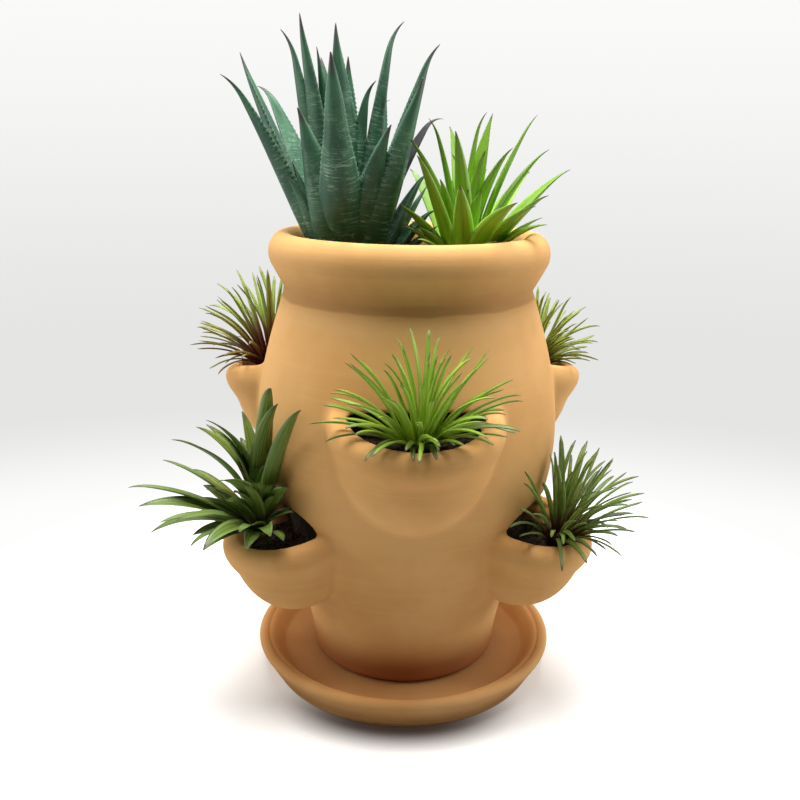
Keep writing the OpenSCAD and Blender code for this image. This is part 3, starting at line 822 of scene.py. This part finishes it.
def collar_mesh(radius, low, height, lean):
    """A ring with rounded edges round the leaning stem."""
    edge = min(1.2, radius / 4)
    outline = ([[STEM_BORE, 0]] + arc(radius - edge, edge, edge, edge, -90, 0, 3)
               + arc(radius - edge, height - edge, edge, edge, 0, 90, 3) + [[STEM_BORE, height]])
    segments, count = 24, len(outline)
    points = np.array([[r * cos(2 * pi * k / segments), r * sin(2 * pi * k / segments), z + low]
                       for k in range(segments) for r, z in outline])
    faces = [[k * count + i, (k + 1) % segments * count + i, (k + 1) % segments * count + (i + 1) % count,
              k * count + (i + 1) % count] for k in range(segments) for i in range(count)]
    return turned(points.T, lean, 0).T, faces


def make_whorl(plant, node, level, leaves, collar_r, look, material):
    """The leaves of one ring and their collar, in place of the ring's CAD node.

    Each leaf has a number from 0 to 1: its place in the list for grass, where that runs from the
    middle of the tuft outwards, and a random one for the others."""
    angle, distance, height, lean = PLANTS[plant]
    low = level * (COLLAR_H + COLLAR_GAP)
    shift = turned(np.array([[0.0], [0.0], [low]]), lean, 0).T
    points, faces, blades, numbers = [], [], [], []

    def add(new_points, new_faces, blade, number):
        start = sum(len(p) for p in points)
        points.append(new_points)
        faces.extend([[i + start for i in face] for face in new_faces])
        blades.append(blade)
        numbers.append(np.full(len(new_points), number))

    ring, ring_faces = collar_mesh(collar_r, low, COLLAR_H, lean)
    add(ring, ring_faces, np.zeros((len(ring), 3)), 0.5)
    for place, leaf in enumerate(leaves):
        p, f, blade = leaf_mesh(leaf[:7], LOOKS[leaf[7] if len(leaf) > 7 else look])
        number = 1.0 if leaf[-1] == "aloe_dark" else 0.9 * rng.random()
        if look == "grass":
            number = min(1.0, max(0.0, (1 - level + place / len(leaves)) / 2 + 0.2 * (number - 0.5)))
        add(p + shift, f, blade, number)
    p = np.concatenate(points)
    p = turned((p + [0, -distance, height]).T, angle, 2).T
    new_piece(node + "_blades", p, faces, material, plant, [node],
              {"leaf_number": np.concatenate(numbers)}, {"blade": np.concatenate(blades)})


def rooted(plant, leaves, r0, height):
    """Completes leaves of [azimuth round the jar, lean, length, width, curl].

    Upright ones start nearer the middle."""
    start = PLANTS[plant][0]
    return [[az - start, lean, length, width, curl,
             r0 * (0.4 + 0.6 * sin(radians(min(90, 1.6 * lean)))), height] + own
            for az, lean, length, width, curl, *own in leaves]


# The rings of a plant: name, start radius and start height of the leaves, and radius of the collar
RINGS = {
    "aloe": [("outer", 12, 2.5, 12.5), ("middle", 10.5, 2.5, 9.5), ("inner", 4, 4.2, 5.5)],
    "yucca": [("outer", 5.6, 2.5, 7), ("inner", 4, 4.2, 5)],
    "dracaena": [("outer", 4.5, 1.6, 6), ("inner", 3.4, 3.8, 3.9)],
}
# How much wider the leaves are shown than listed
FULLNESS = {"aloe": 1.3, "yucca": 1.12, "dracaena": 1.12}
# [azimuth round the jar, lean, length, width, curl] of every leaf, ring by ring, and the name of its
# look where that isn't the plant's
ALOE = [
    [[275, 24, 138, 18, 8], [250, 23, 148, 19, 6], [225, 27, 142, 18, 8],
     [50, 17, 126, 21, 10], [290, 22, 72, 17, 10], [175, 30, 118, 18, 8], [315, 14, 106, 22, 10],
     [82, 40, 60, 14, 8], [108, 34, 68, 14, 6], [68, 50, 56, 13, 8], [94, 27, 76, 14, 6]],
    [[350, 25, 132, 20, -8, "aloe_front"], [270, 9, 145, 19, 6], [300, 8, 149, 21, 6], [95, 15, 143, 22, 6],
     [70, 16, 120, 17, 8], [150, 16, 118, 18, 8], [205, 12, 133, 18, 6],
     [112, 17, 112, 13, 24, "aloe_dark"],
     [28, 22, 96, 18, 8]],
    [[330, 2, 136, 16, 8], [60, 4, 107, 14, 6], [105, 8, 145, 21, 6], [290, 6, 124, 15, 4],
     [180, 8, 122, 15, 6], [110, 8, 100, 12, 6, "aloe_dark"]],
]
YUCCA = [
    [[78, 26, 90, 13, 8], [90, 38, 89, 13, 8], [60, 38, 71, 13, 10], [45, 40, 66, 13, 12],
     [20, 46, 77, 13, 10], [350, 34, 72, 13, 8], [320, 29, 86, 13, 6], [295, 20, 90, 13, 6],
     [215, 34, 80, 13, 8], [175, 40, 82, 13, 8], [130, 38, 85, 13, 8]],
    [[95, 21, 99, 12, 5], [120, 8, 92, 12, 5], [60, 3, 92, 12, 4], [285, 11, 90, 12, 5],
     [200, 12, 86, 12, 5], [20, 14, 72, 12, 6], [340, 16, 84, 12, 6]],
]
DRACAENA = [
    [[280, 57, 85, 9, 12], [290, 61, 77, 9, 12], [275, 80, 66, 9, 14], [318, 67, 55, 9, 20],
     [332, 62, 59, 9, 24], [300, 63, 66, 9, 14], [310, 58, 62, 9, 14], [255, 50, 76, 9, 10],
     [235, 55, 64, 9, 12], [350, 56, 52, 9, 14], [10, 60, 48, 9, 12]],
    [[20, 14, 103, 10, 6], [30, 14, 91, 10, 6], [32, 26, 104, 10, 8], [25, 7, 88, 10, 8],
     [300, 16, 70, 10, 6], [290, 17, 78, 10, 8], [275, 23, 74, 10, 8], [285, 33, 78, 10, 10],
     [40, 34, 43, 10, 8], [350, 6, 42, 10, 10], [330, 26, 38, 10, 20], [220, 9, 72, 10, 4],
     [245, 25, 70, 10, 8]],
]


def frac(x):
    return x % 1.0


def wobble(i, size):
    return size * (2 * frac(i * 0.618) - 1)


def fillers(count, outward, spread, leans, lengths, width, curl):
    """Short leaves between the listed ones, evenly round the outward direction, in the same form."""
    return [[outward + spread * (2 * frac(0.31 + i * 0.618) - 1),
             leans[0] + (leans[1] - leans[0]) * frac(i * 0.382),
             lengths[0] + (lengths[1] - lengths[0]) * frac(0.5 + i * 0.755), width, curl]
            for i in range(count)]


# The yucca's extra leaves that face the aloe are short, so that it can be lifted past the aloe
ALOE_SIDE, ALOE_SIDE_HALF, ALOE_SIDE_SHARE = 258, 32, 0.7


def short_of_aloe(leaves):
    def share(azimuth):
        return ALOE_SIDE_SHARE if abs(azimuth % 360 - ALOE_SIDE) < ALOE_SIDE_HALF else 1

    return [[az, lean, length * share(az), width, curl] for az, lean, length, width, curl in leaves]


# The rings with the short leaves that fill them
LEAVES = {
    "aloe": (ALOE, [[], fillers(4, 180, 100, (14, 30), (62, 92), 17, 8),
                    fillers(6, 0, 180, (2, 16), (60, 100), 15, 6)]),
    "yucca": (YUCCA, [short_of_aloe(fillers(9, 0, 180, (34, 56), (50, 68), 12, 16)
                                    + fillers(6, 275, 34, (30, 56), (42, 54), 12, 12)),
                      short_of_aloe(fillers(11, 0, 180, (2, 26), (50, 84), 12, 8))]),
    "dracaena": (DRACAENA, [
        fillers(8, 300, 95, (52, 80), (34, 56), 11, 16),
        fillers(14, 300, 110, (8, 46), (30, 62), 11, 12) + fillers(7, 80, 70, (4, 26), (28, 50), 10, 10)
        + fillers(6, 70, 60, (24, 54), (22, 36), 9, 14)]),
}

BLADE_W = 2.7
# The collars of a tuft, and how deep its blades start below the level of the plant
TUFT_COLLARS = {"outer": 5.5, "inner": 3.8}
SOIL_DEPTH = 5
# Rows of a tuft from the middle outwards: blades, spread to both sides of the outward direction,
# lean, length, curl and start radius
TUFT_INNER = [[9, 175, 9, 66, 8, 2], [9, 125, 17, 66, 12, 4],
              [11, 118, 25, 65, 18, 5], [13, 112, 35, 62, 24, 7]]
TUFT_OUTER = [[12, 106, 45, 60, 26, 8], [10, 100, 51, 56, 38, 8],
              [6, 88, 48, 52, 50, 8], [4, 50, 45, 45, 68, 8]]
# Blades that point further than this from the outward direction are on the jar's side. There they
# lean at most so much, in an upper and in a lower pocket, with little curl, from near the stem.
INWARD_FROM, INWARD_CURL, INWARD_R = 112, 2, 3
INWARD_LEAN = {UPPER_LEAN: 8, LOWER_LEAN: 3}
# Blades that reach over the lip are shorter, the more so the further they fall past this lean
FALL_FROM, FALL_LOSS = 45, 0.4
# Grass materials: their foot, high, low, under and tip colours, and the reach of the foot's colour
GRASSES = {
    "grass_light": ((142, 172, 34), (146, 176, 58), (104, 134, 28), (52, 54, 20), (100, 104, 52), 0.52),
    "grass_dark": ((92, 56, 30), (112, 134, 56), (72, 94, 26), (52, 50, 22), (60, 66, 34), 0.52),
    "grass_red": ((92, 26, 12), (136, 158, 70), (128, 118, 44), (100, 38, 18), (118, 112, 58), 0.74),
    "grass_olive": ((80, 58, 24), (140, 156, 68), (114, 128, 40), (88, 78, 32), (100, 104, 54), 0.52),
}
# Tufts: seed, size, material and slot
TUFTS = {
    "front_grass": (0.1, 1.0, "grass_light", "grass_light"),
    "right_grass": (0.2, 1.06, "grass_dark", "grass_dark"),
    "rear_left_grass": (0.35, 1.14, "grass_red", "grass_red"),
    "rear_right_grass": (0.55, 0.92, "grass_olive", "grass_light"),
    "rear_grass": (0.7, 1.0, "grass_dark", "grass_dark"),
}


def tuft(rows, seed, inward_lean, size, low):
    """Blades of a tuft. On the jar's side they stand almost upright."""
    blades = []
    for row, (count, spread, lean, length, curl, r0) in enumerate(rows):
        for i in range(count):
            n = i + row * 3 + seed * 10
            azimuth = spread * (2 * (i + 0.5) / count - 1) + wobble(n, 7)
            facing = max(0.0, cos(radians(azimuth))) ** 2 * max(0.0, lean + curl / 2 - FALL_FROM) / FALL_FROM
            reach = length * size * (1 - 0.2 * frac(n * 0.755)) * (1 - FALL_LOSS * facing)
            width = BLADE_W * (0.85 + 0.3 * frac(n * 0.414))
            if abs(azimuth) > INWARD_FROM:
                leaning, bend, start = min(lean, inward_lean), INWARD_CURL, min(r0, INWARD_R)
            else:
                leaning, bend = lean + wobble(2 * n, 7), curl + wobble(3 * n, 10)
                start = r0 + wobble(5 * n, 1.5)
            blades.append([azimuth, leaning, reach, width, bend, start, -SOIL_DEPTH - low])
    return blades


def make_leafy(plant, material):
    """The rings of the aloe, the yucca or the dracaena."""
    for level, (ring, r0, height, collar) in enumerate(RINGS[plant]):
        rows, more = LEAVES[plant]
        leaves = [[az, lean, length, width * FULLNESS[plant], curl] + own
                  for az, lean, length, width, curl, *own in rows[level]]
        make_whorl(plant, f"{plant}_{ring}_leaves", level, rooted(plant, leaves + more[level], r0, height),
                   collar, plant, material)


def make_plants():
    make_leafy("aloe", aloe_material())
    make_leafy("yucca", yucca_material())
    make_leafy("dracaena", dracaena_material())
    grasses = {name: grass_material(name, *colours) for name, colours in GRASSES.items()}
    for plant, (seed, size, material, slot) in TUFTS.items():
        inward_lean = INWARD_LEAN[PLANTS[plant][3]]
        for level, (ring, rows) in enumerate([("outer", TUFT_OUTER), ("inner", TUFT_INNER)]):
            blades = tuft(rows, seed + 0.3 * level, inward_lean, size, level * COLLAR_H)
            make_whorl(plant, f"{plant}_{ring}_leaves", level, blades, TUFT_COLLARS[ring], "grass",
                       grasses[material])
    green = stem_material("stem_green", (70, 92, 40), (104, 122, 60))
    brown = stem_material("stem_red", (98, 52, 34), (130, 76, 48))
    for plant in PLANTS:
        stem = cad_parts[f"{plant}_stem"]
        stem.data.materials.clear()
        stem.data.materials.append(brown if plant == "rear_left_grass" else green)


# ---- stage ----

# The floor: its size, where it starts and ends to fade, its white to the camera and to the rest of
# the light, and its own glow
FLOOR_R, FLOOR_SIDES = 2200, 96
FLOOR_CLEAR_R, FLOOR_GONE_R = 290, 400
FLOOR_SEEN, FLOOR_BOUNCE, FLOOR_GLOW = 0.97, 0.5, 0.19
# The painted shadow under the saucer's front: its range of distances, its level, and the direction it faces
CONTACT_NEAR, CONTACT_FAR, CONTACT_LEVEL, CONTACT_TO = 95, 123, 0.08, -6
# The colours of the floor's glow in the painted shadow and out in the open
GLOW_IN_PAINTED_SHADOW, GLOW_OPEN = (96, 52, 24), (255, 250, 242)
# The backdrop's level: where the floor's white ends, at the dullest, and high up
BACKDROP = (0.99, 0.78, 0.96)
# The slopes of the view between which it changes, below and above the dullest part
BACKDROP_BELOW, BACKDROP_ABOVE = (-0.375, -0.27), (-0.24, 0.17)
WORLD_FRONT, WORLD_SIDES = 0.02, 0.5
# Area lights: place and the point they face, in mm, then size in mm and power in watts
LAMPS = {
    "top": ((0, 20, 1150), (0, 0, 150), 760, 22.5),
    "left": ((-1000, 60, 520), (0, 0, 180), 700, 4.8),
    "right": ((1000, 60, 520), (0, 0, 180), 700, 5.7),
}


def make_floor():
    """A white floor that fades into the backdrop's colour away from the object, with a painted shadow close
    round the front of the saucer.
    """
    rim = arc(0, 0, FLOOR_R * MM, FLOOR_R * MM, 0, 360, FLOOR_SIDES)[:-1]
    mesh = bpy.data.meshes.new("floor")
    mesh.from_pydata([[x, y, 0] for x, y in rim], [], [list(range(FLOOR_SIDES))])
    floor = add_object("floor", mesh)
    material = bpy.data.materials.new("floor")
    material.use_nodes = True
    nodes = Nodes(material.node_tree)
    place = nodes.place()
    distance = nodes.vector("LENGTH", place)
    fade = nodes.ramp(distance, FLOOR_CLEAR_R * MM, FLOOR_GONE_R * MM)
    camera_ray = nodes.add("LightPath").outputs["Is Camera Ray"]
    bounce = nodes.add("BsdfDiffuse", Color=(FLOOR_BOUNCE, FLOOR_BOUNCE, FLOOR_BOUNCE, 1))
    # The painted shadow: the floor darker close round the saucer, on the side it faces
    ahead = (sin(radians(CONTACT_TO)), -cos(radians(CONTACT_TO)), 0)
    facing = nodes.vector("DOT_PRODUCT", nodes.vector("NORMALIZE", place), ahead)
    under = nodes.ramp(distance, CONTACT_NEAR * MM, CONTACT_FAR * MM, 1 - CONTACT_LEVEL, 0.0)
    dark = nodes.math("MULTIPLY", nodes.ramp(facing, 0.5, 1.0), under)
    level = nodes.math("SUBTRACT", 1.0, dark)
    lit = nodes.add("BsdfDiffuse", Color=nodes.mix(level, (0, 0, 0), [255 * FLOOR_SEEN] * 3))
    glow = nodes.add("Emission", Color=nodes.mix(level, GLOW_IN_PAINTED_SHADOW, GLOW_OPEN), Strength=FLOOR_GLOW)
    seen = nodes.add("AddShader", lit.outputs[0], glow.outputs[0])
    clear = nodes.add("BsdfTransparent")
    near = nodes.mix_shader(camera_ray, bounce, seen)
    shown = nodes.mix_shader(nodes.math("MULTIPLY", fade, camera_ray), near, clear)
    nodes.add("OutputMaterial", Surface=shown.outputs[0])
    mesh.materials.append(material)


def make_world():
    """Soft light that is weaker from the front, and a pale backdrop with a soft horizon."""
    world = bpy.data.worlds.new("studio")
    world.use_nodes = True
    bpy.context.scene.world = world
    nodes = Nodes(world.node_tree)
    _, along_y, along_z = nodes.split(nodes.add("TexCoord").outputs["Generated"])
    front = nodes.math("MAXIMUM", nodes.math("MULTIPLY", along_y, -1.0), 0.0)
    level = nodes.math("POWER", nodes.math("SUBTRACT", 1.0, front), 2.0)
    light = nodes.math("MULTIPLY_ADD", level, WORLD_SIDES, WORLD_FRONT)
    white, dull, high = BACKDROP
    below = nodes.ramp(along_z, *BACKDROP_BELOW, white - dull, 0.0)
    above = nodes.ramp(along_z, *BACKDROP_ABOVE, dull, high)
    grey = nodes.math("ADD", below, above)
    paths = nodes.add("LightPath")
    seen = nodes.math("ADD", paths.outputs["Is Camera Ray"], paths.outputs["Is Glossy Ray"])
    seen = nodes.math("ADD", seen, paths.outputs["Is Transmission Ray"], clamp=True)
    strength = nodes.add("Mix", seen, data_type="FLOAT")
    nodes.put(strength, 2, light)
    nodes.put(strength, 3, grey)
    background = nodes.add("Background", Color=(1, 1, 0.99, 1), Strength=strength.outputs[0])
    nodes.add("OutputWorld", Surface=background.outputs[0])


def make_lamps():
    for name, (place, target, size, power) in LAMPS.items():
        lamp = bpy.data.lights.new(name, "AREA")
        lamp.energy = power
        lamp.size = size * MM
        holder = add_object(name, lamp)
        holder.location = Vector(place) * MM
        holder.rotation_euler = (Vector(target) - Vector(place)).to_track_quat("-Z", "Y").to_euler()


# ---- build ----

bpy.context.scene.view_settings.view_transform = "Standard"
make_camera()
make_world()
make_lamps()
make_floor()
make_jar(terracotta("terracotta", (1, 1, 1), JAR_BANDS))
make_saucer(terracotta("terracotta_saucer", (0.96, 0.95, 0.96), SAUCER_BANDS))
soil = soil_material()
make_soil(soil)
make_crumbs(soil)
make_plants()
